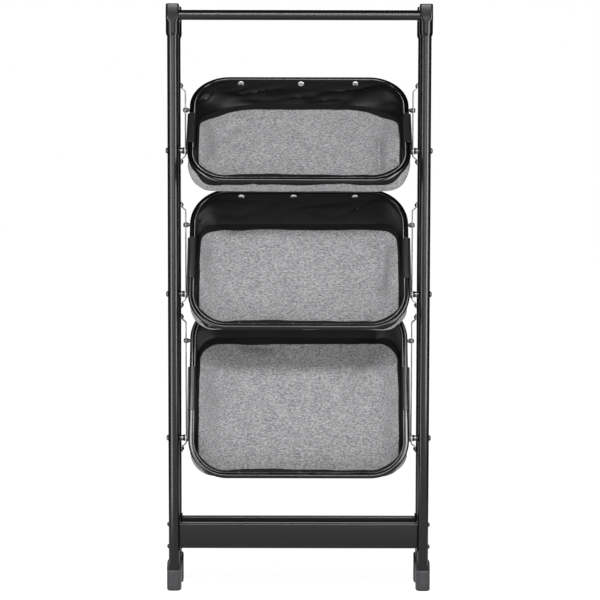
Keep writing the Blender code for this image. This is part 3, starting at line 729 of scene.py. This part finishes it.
# The stud: its boss stands on the rim, its neck runs in the slot, and its head keeps it there.
boss = rim_half_width + rim_radius + 0.0003
neck = guide_face_x - guide_sheet - 0.0006
head = guide_face_x + 0.0006
neck_radius, shoulder_radius = 0.0023, 0.0050
stud_profile = [(boss - 0.002, neck_radius), (boss, neck_radius), (boss, 0.0034), (boss + 0.0027, 0.0034)]
stud_profile += [(boss + 0.0032, 0.0046), (boss + 0.0042, shoulder_radius), (neck - 0.0003, shoulder_radius)]
stud_profile += [(neck, 0.0047), (neck, neck_radius), (head, neck_radius), (head, 0.0047)]
stud_profile += [(head + 0.0003, shoulder_radius)] + dome_profile(head + 0.0005, shoulder_radius, 0.0031)

# Parts on the hinge's line: profile, steps, whether hollow, finish, slot, and what each stands for.
hinge_parts = {
    "bolt": (bolt_profile, 32, False, fastener_steel, "fastener_steel", ["pivot_bolt"]),
    "spacer": (spacer_profile, 40, True, cap_nylon, "spacer_plastic", ["pivot_spacer"]),
    "collar": (collar_profile, 40, True, guide_steel, "spacer_plastic", []),
    "washer": (washer_profile, 32, True, washer_nylon, "spacer_plastic", []),
}
for tier_name, tier in basket_tiers.items():
    for side_name, side in sides.items():
        for part_name, (profile, steps, hollow, finish, slot, nodes) in hinge_parts.items():
            work = bmesh.new()
            turn_profile(work, "x", (0, front_y, tier["pivot"]), on_side(side, profile), steps, hollow)
            turned = make_piece(f"{tier_name}_hinge_{part_name}_{side_name}", work, [finish])
            fit(turned, "front_frame", slot, *[f"{tier_name}_{node}_{side_name}" for node in nodes])

        work = bmesh.new()
        turn_profile(work, "x", (0, tier["stud_distance"], 0), on_side(side, stud_profile), 32)
        stud = make_piece(f"{tier_name}_slider_stud_{side_name}", work, [fastener_steel], tier["placed"])
        fit(stud, f"{tier_name}_basket", "fastener_steel", f"{tier_name}_guide_stud_{side_name}")


# Bags: a tray of marled grey woven polyester with black lined walls. It hangs from a wide black hem inside the rim,
# and the floor panel is sewn in with a piped seam, which pulls it up into soft folds at both ends.
marl, tree, shader = new_material("marled_grey_woven_polyester", {"Roughness": 0.92, "Sheen Weight": 0.08})
place = add_node(tree, "ShaderNodeTexCoord").outputs["Object"]
# Slubs of pale and dark yarn, drawn 5 mm long and 2 mm wide, coarser than the real 0.5 mm yarn so that they show.
yarns = []
for stretch, size in (((0.4, 1.0, 1.0), 0.0020), ((1.0, 0.4, 0.4), 0.0022)):
    way = add_node(tree, "ShaderNodeMapping", {"Scale": stretch}, {"Vector": place})
    settings = {"Scale": 1 / size, "Detail": 2, "Roughness": 0.6}
    yarns.append(add_node(tree, "ShaderNodeTexNoise", settings, {"Vector": way.outputs[0]}).outputs["Fac"])
both = add_node(tree, "ShaderNodeMix", {"data_type": "FLOAT", 0: 0.2}, {2: yarns[0], 3: yarns[1]})
# The dye takes unevenly, in clouds some 30 mm across.
cloud = add_node(tree, "ShaderNodeTexNoise", {"Scale": 1 / 0.030, "Detail": 3}, {"Vector": place})
tone = add_node(tree, "ShaderNodeMix", {"data_type": "FLOAT", 0: 0.10}, {2: both.outputs[0], 3: cloud.outputs["Fac"]})
ramp = add_node(tree, "ShaderNodeValToRGB", {}, {0: tone.outputs[0]})
dark, pale = ramp.color_ramp.elements
dark.position, dark.color = 0.38, colour("#6f6e71")
pale.position, pale.color = 0.62, colour("#bab8bb")
ramp.color_ramp.elements.new(0.5).color = colour("#969597")
tree.links.new(ramp.outputs[0], shader.inputs["Base Color"])
bump = add_node(tree, "ShaderNodeBump", {"Strength": 0.5, "Distance": 0.0004}, {"Height": both.outputs[0]})
tree.links.new(bump.outputs["Normal"], shader.inputs["Normal"])

# The lining is nearly black, with a faint shine on its folds.
lining, tree, shader = new_material(
    "black_woven_polyester_lining",
    {"Base Color": colour("#101011"), "Roughness": 0.38, "Specular IOR Level": 0.08, "Sheen Weight": 0.03},
)
place = add_node(tree, "ShaderNodeTexCoord").outputs["Object"]
# A plain weave, drawn at 1.2 mm instead of 0.4 mm so that it shows.
weave = add_node(tree, "ShaderNodeTexNoise", {"Scale": 1 / 0.0012, "Detail": 2}, {"Vector": place})
bump = add_node(tree, "ShaderNodeBump", {"Strength": 0.4, "Distance": 0.0002}, {"Height": weave.outputs["Fac"]})
tree.links.new(bump.outputs["Normal"], shader.inputs["Normal"])

# The floor's seam: half its width, how far it lies inside the rim in front and behind, and its corners.
bag_sizes = {
    "top": {
        "seam_half": 0.2045, "seam_front": 0.016, "seam_rear": 0.028,
        "rear_corner": (0.112, 0.080), "front_corner": (0.030, 0.026),
    },
    "middle": {
        "seam_half": 0.204, "seam_front": 0.018, "seam_rear": 0.052,
        "rear_corner": (0.054, 0.040), "front_corner": (0.034, 0.030),
    },
    "bottom": {
        "seam_half": 0.206, "seam_front": 0.014, "seam_rear": 0.060,
        "rear_corner": (0.046, 0.050), "front_corner": (0.052, 0.030),
    },
}
# Folds of the floor: two ends of a line, its width and its height, as the photographed cloth lies.
floor_folds = {
    "top": [
        (-0.18, 0.05, -0.166, 0.096, 0.0105, -0.00884),
        (-0.192, 0.01, -0.176, 0.06, 0.0075, 0.00572),
        (-0.15, 0.085, -0.118, 0.125, 0.0105, -0.00468),
        (0.1635, -0.01, 0.1635, 0.088, 0.00675, -0.0104),
        (0.176, 0.0, 0.172, 0.07, 0.009, 0.00676),
        (0.15, 0.09, 0.17, 0.13, 0.009, -0.00572),
    ],
    "middle": [
        (0.168, 0.02, 0.176, 0.11, 0.009, -0.00884),
        (0.182, 0.03, 0.186, 0.12, 0.009, 0.00624),
        (0.15, 0.15, 0.185, 0.12, 0.0105, -0.00624),
        (-0.186, 0.06, -0.172, 0.15, 0.0105, -0.00676),
        (-0.14, 0.17, -0.11, 0.172, 0.012, -0.00416),
    ],
    "bottom": [
        (0.09, 0.1, 0.15, 0.205, 0.009, -0.0078),
        (0.082, 0.11, 0.14, 0.215, 0.009, 0.00416),
        (-0.16, 0.06, -0.14, 0.15, 0.0135, -0.00624),
        (-0.18, 0.02, -0.15, 0.01, 0.0105, 0.00624),
        (0.16, 0.03, 0.19, 0.06, 0.0105, -0.00676),
        (-0.12, 0.215, -0.06, 0.205, 0.0135, -0.0078),
        (0.12, 0.235, 0.16, 0.222, 0.009, -0.0078),
    ],
}
# How deep the floor lies under the rim's middle, and how far out its ends begin to turn up.
bag_depth, turn_from = 0.0475, 0.158
# The wall's thickness, cloth and lining together, and how high the hem's top edge stands.
cloth, hem_top = 0.0014, 0.0036
# The mouth: half its width, how far it lies inside the rim in front and behind, and its corners.
mouth_half_width, mouth_inset, mouth_corner = 0.2098, 0.0068, (0.067, 0.067)
outline_steps = (14, 30, 16)


def smooth(low, high, value):
    """An eased step, from 0 at low to 1 at high."""
    share = min(max((value - low) / (high - low), 0), 1)
    return share * share * (3 - 2 * share)


def floor_height(tier_name, x, y):
    """How deep the floor lies: its ends turn up, less so near the rear seam and hardly at all near the front one."""
    tier, size = basket_tiers[tier_name], bag_sizes[tier_name]
    wander = 0.010 * noise.noise(Vector((y * 12, 0.3 if x > 0 else 5.1, len(tier_name))))
    seam_rear, seam_front = tier["rear"] - size["seam_rear"], tier["front"] + size["seam_front"]
    near_rear = smooth(seam_rear - 0.10, seam_rear - 0.03, y)
    near_front = 1 - smooth(seam_front + 0.02, seam_front + 0.09, y)
    lift = 0.033 - 0.021 * near_rear - 0.031 * near_front
    height = lift * smooth(turn_from, size["seam_half"], abs(x) + wander) - bag_depth
    for x0, y0, x1, y1, width, depth in floor_folds[tier_name]:
        length = math.hypot(x1 - x0, y1 - y0)
        along = ((x - x0) * (x1 - x0) + (y - y0) * (y1 - y0)) / length
        off = ((x - x0) * (y1 - y0) - (y - y0) * (x1 - x0)) / length
        fade = smooth(-0.02, 0.012, along) * smooth(-0.02, 0.012, length - along)
        height += depth * fade * math.exp(-((off / width) ** 2))
    height += 0.0012 * noise.noise(Vector((x * 14, y * 14, 1.7 + len(tier_name))))
    height += 0.0005 * noise.noise(Vector((x * 45, y * 45, 4.2)))
    return height


def wall_rings(tier_name, outside):
    """Rings down the bag's wall from the hem to the floor's seam, as drawn by the folds of the cloth."""
    tier, size = basket_tiers[tier_name], bag_sizes[tier_name]
    front, rear = tier["front"], tier["rear"]
    mouth_reach = (mouth_half_width, front + mouth_inset, rear - mouth_inset)
    mouth = rounded_outline(*mouth_reach, mouth_corner, mouth_corner, *outline_steps)
    seam_reach = (size["seam_half"], front + size["seam_front"], rear - size["seam_rear"])
    seam = rounded_outline(*seam_reach, size["front_corner"], size["rear_corner"], *outline_steps)
    ways = outward_ways(mouth)
    thickness = cloth if outside else 0
    rings = []
    levels = 16
    for level in range(levels + 1):
        down = level / levels
        swell = math.sin(math.pi * down)
        ring = []
        for (mx, my), (sx, sy), (out_x, out_y) in zip(mouth, seam, ways):
            # The wall leans in late, but evenly round the front corners, and it bulges most at the sides.
            corner = min(1, 2.6 * abs(out_x * out_y)) if out_y < 0 else 0
            lean = 0.35 * down + 0.65 * down**2.2
            lean += (down**0.85 - lean) * corner
            x, y = mx + (sx - mx) * lean, my + (sy - my) * lean
            bulge = swell**0.7 * (0.0095 * abs(out_x) ** 0.6 + 0.0015 + 0.0012 * corner)
            # Soft folds run everywhere, and sharper creases that are deepest at the corners.
            fold = noise.noise(Vector((x * 22, y * 22, down * 1.6 + len(tier_name))))
            line = noise.noise(Vector((x * 13 + down * 1.8, y * 13 - down * 1.3, 7.7 + len(tier_name))))
            crease = max(1 - abs(line) * 5, 0) ** 2
            slack = 0.0030 * fold + (0.0048 + 0.008 * (out_x * out_y) ** 2) * crease
            reach = bulge - slack * swell + thickness
            floor_z = floor_height(tier_name, sx, sy) - thickness
            ring.append((x + out_x * reach, y + out_y * reach, hem_top + (floor_z - hem_top) * down))
        rings.append(ring)
    return rings


def floor_rings(tier_name, seam_ring, drop):
    """Rings from the floor's seam to its middle."""
    middle_y = (min(p[1] for p in seam_ring) + max(p[1] for p in seam_ring)) / 2
    rings = []
    steps = 46
    for step in range(1, steps):
        share = 1 - (step / steps) ** 1.2
        ring = []
        for x, y, z in seam_ring:
            px, py = x * share, middle_y + (y - middle_y) * share
            ring.append((px, py, floor_height(tier_name, px, py) - drop))
        rings.append(ring)
    return rings


for tier_name, tier in basket_tiers.items():
    outer, inner = wall_rings(tier_name, True), wall_rings(tier_name, False)
    under = floor_rings(tier_name, outer[-1], cloth)
    upper = floor_rings(tier_name, inner[-1], 0)
    work = bmesh.new()
    rings = under[::-1] + outer[::-1] + inner + upper
    faces = skin(work, rings)
    around = len(rings[0])
    lined_from = len(under) + len(outer) - 1
    lined_to = lined_from + len(inner)
    for number, face in enumerate(faces[:-2]):
        band = number // around
        face.material_index = 1 if lined_from <= band < lined_to else 0
    bag = make_piece(f"{tier_name}_fabric_tray", work, [marl, lining], tier["placed"])
    fit(bag, f"{tier_name}_basket", "bag_fabric", f"{tier_name}_bag")
    tier["mouth_rings"] = (outer, inner)


# Seam tape: black binding sewn flat over the floor's seam, broad along the rear and narrow at the ends, with a cord
# in its outer edge that stands up as a ridge against the wall.
hem_cloth, tree, shader = new_material(
    "black_coated_polyester_hem", {"Base Color": colour("#1a1a1b"), "Roughness": 0.80, "Specular IOR Level": 0.06}
)
place = add_node(tree, "ShaderNodeTexCoord").outputs["Object"]
# The coating is matt and a little paler than the lining. Its weave is also drawn at 1.2 mm instead of 0.4 mm.
weave = add_node(tree, "ShaderNodeTexNoise", {"Scale": 1 / 0.0012, "Detail": 2}, {"Vector": place})
bump = add_node(tree, "ShaderNodeBump", {"Strength": 0.4, "Distance": 0.0002}, {"Height": weave.outputs["Fac"]})
tree.links.new(bump.outputs["Normal"], shader.inputs["Normal"])

for tier_name, tier in basket_tiers.items():
    inner = tier["mouth_rings"][1]
    line = [(x, y) for x, y, z in inner[-1]]
    rings = []
    for (x, y), (out_x, out_y) in zip(line, outward_ways(line)):
        width = 0.0030 + 0.0080 * max(out_y, 0) + 0.0030 * max(-out_y, 0)
        width += 0.0016 * noise.noise(Vector((x * 24, y * 24, 3.3 + len(tier_name))))
        section = [(-0.0010, 0.0020), (-0.0004, 0.0032), (0.0006, 0.0036), (0.0016, 0.0030), (0.0022, 0.0014)]
        section += [(0.0022 + (width - 0.0022) * share, 0.0011) for share in (0.35, 0.7, 1.0)]
        section += [(width + 0.0005, 0.0007), (width + 0.0007, 0.0002)]
        ring = []
        for inward, rise in section + [(width * 0.5, -0.0004), (-0.0002, -0.0004)]:
            px, py = x - out_x * inward, y - out_y * inward
            ring.append((px, py, floor_height(tier_name, px, py) + rise))
        rings.append(ring)
    work = bmesh.new()
    skin(work, rings, closed=True)
    tape = make_piece(f"{tier_name}_seam_tape", work, [hem_cloth], tier["placed"])
    fit(tape, f"{tier_name}_basket", "bag_fabric")


# Hem: a doubled band of black coated polyester inside the rim, thicker along the straight sides, where it is turned
# over and snapped, and a binding of the same cloth outside, under the tube.
def at_height(rings, i, height):
    """The point of the wall at a height, found between two of its rings."""
    for high, low in zip(rings, rings[1:]):
        if high[i][2] >= height >= low[i][2]:
            share = (high[i][2] - height) / (high[i][2] - low[i][2])
            return Vector(high[i]).lerp(Vector(low[i]), share)
    return Vector(rings[0][i])


flap_half_length, flap_inset, flap_fade = 0.1395, 0.0765, 0.001
band_edge = 0.0007


def flap_share(x, y, tier):
    """1 along the straight sides, where the hem is turned over, and 0 round the corners."""
    level = 1 - smooth(flap_half_length - flap_fade, flap_half_length + flap_fade, abs(x))
    along = min(y - tier["front"], tier["rear"] - y)
    return max(level if along < 0.04 else 0, smooth(flap_inset - flap_fade, flap_inset + flap_fade, along))


for tier_name, tier in basket_tiers.items():
    outer, inner = tier["mouth_rings"]
    flat = [(x, y) for x, y, z in inner[0]]
    ways = outward_ways(flat)
    bands = {"turned_hem": (inner, -1, hem_top + 0.0008, -0.0125), "outer_binding": (outer, 1, 0.0006, -0.0055)}
    for band_name, (wall, way, high, low) in bands.items():
        rings = []
        for i, ((x, y), (out_x, out_y)) in enumerate(zip(flat, ways)):
            turned = flap_share(x, y, tier)
            # The hem stands off the wall where it is turned over, and rolls inwards along the front. The binding
            # hangs lower there.
            if way < 0:
                roll = 0.0030 * smooth(0.2, 0.9, -out_y) * (1 + noise.noise(Vector((x * 20, y * 20, 2.4))))
                proud = 0.0007 + 0.0007 * turned + roll
                bottom = low - 0.0035 * turned
            else:
                proud = 0.0008
                bottom = low - 0.0145 * smooth(0.6, 1, -out_y)
            heights = [high - band_edge + (bottom - high + 2 * band_edge) * step / 6 for step in range(7)]
            section = [(high, 0.1), (high, 0.7)] + [(up, 1.0) for up in heights] + [(bottom, 0.7), (bottom, 0.1)]
            section += [(up, 0.1) for up in heights[5:0:-1]]
            ring = []
            for height, share in section:
                point = at_height(wall, i, min(height, hem_top))
                reach = way * proud * share
                ring.append((point.x + out_x * reach, point.y + out_y * reach, height))
            rings.append(ring)
        work = bmesh.new()
        skin(work, rings, closed=True)
        band = make_piece(f"{tier_name}_{band_name}", work, [hem_cloth], tier["placed"])
        fit(band, f"{tier_name}_basket", "bag_fabric")


# Snaps: caps of nickel-plated brass, twelve millimetres across, pressed through the turned hem to hold it shut. The
# plating is bright but hazed, so they show as pale discs.
nickel, _, _ = new_material(
    "nickel_plated_brass", {"Base Color": colour("#cccbc8"), "Metallic": 1.0, "Roughness": 0.48}
)
snap_places = {"top": (-0.1198, 0.0034, 0.1152), "middle": (-0.1184, -0.0112, 0.1146), "bottom": (-0.119, 0.002, 0.117)}
side_snap_shifts = (-0.045, 0, 0.045)
snap_steps = 28
# The cap's profile: how far it stands out, and its radius.
snap_profile = [(-0.0008, 0.0062), (0.0014, 0.0062), (0.0019, 0.0059), (0.0022, 0.0052)]
snap_profile += [(0.0018, 0.0042), (0.0017, 0.0030), (0.0019, 0.0010)]
for tier_name, tier in basket_tiers.items():
    inner = tier["mouth_rings"][1]
    spots = [(x, way) for x in snap_places[tier_name] for way in ("front", "rear")]
    spots += [(tier["offset"] + shift, way) for shift in side_snap_shifts for way in ("left", "right")]
    work = bmesh.new()
    for place_at, way in spots:
        best = None
        for i, (x, y, z) in enumerate(inner[0]):
            if way in ("front", "rear"):
                gap = abs(x - place_at) + (0 if (y > tier["offset"]) == (way == "rear") else 9)
            else:
                gap = abs(y - place_at) + (0 if (x > 0) == (way == "right") else 9)
            best = min(best, (gap, i)) if best else (gap, i)
        point = at_height(inner, best[1], -0.0030)
        if way in ("front", "rear"):
            point.x = place_at
        else:
            point.y = place_at
        facing = {"front": (0, 1), "rear": (0, -1), "left": (1, 0), "right": (-1, 0)}[way]
        rings = []
        for out, radius in snap_profile:
            ring = []
            for i in range(snap_steps):
                angle = math.tau * i / snap_steps
                across, up = radius * math.cos(angle), radius * math.sin(angle)
                x = point.x + facing[0] * out + (across if facing[0] == 0 else 0)
                y = point.y + facing[1] * out + (across if facing[1] == 0 else 0)
                ring.append((x, y, point.z + up))
            rings.append(ring)
        skin(work, rings)
    snaps = make_piece(f"{tier_name}_hem_snaps", work, [nickel], tier["placed"])
    fit(snaps, f"{tier_name}_basket", "bag_fabric")

low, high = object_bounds()
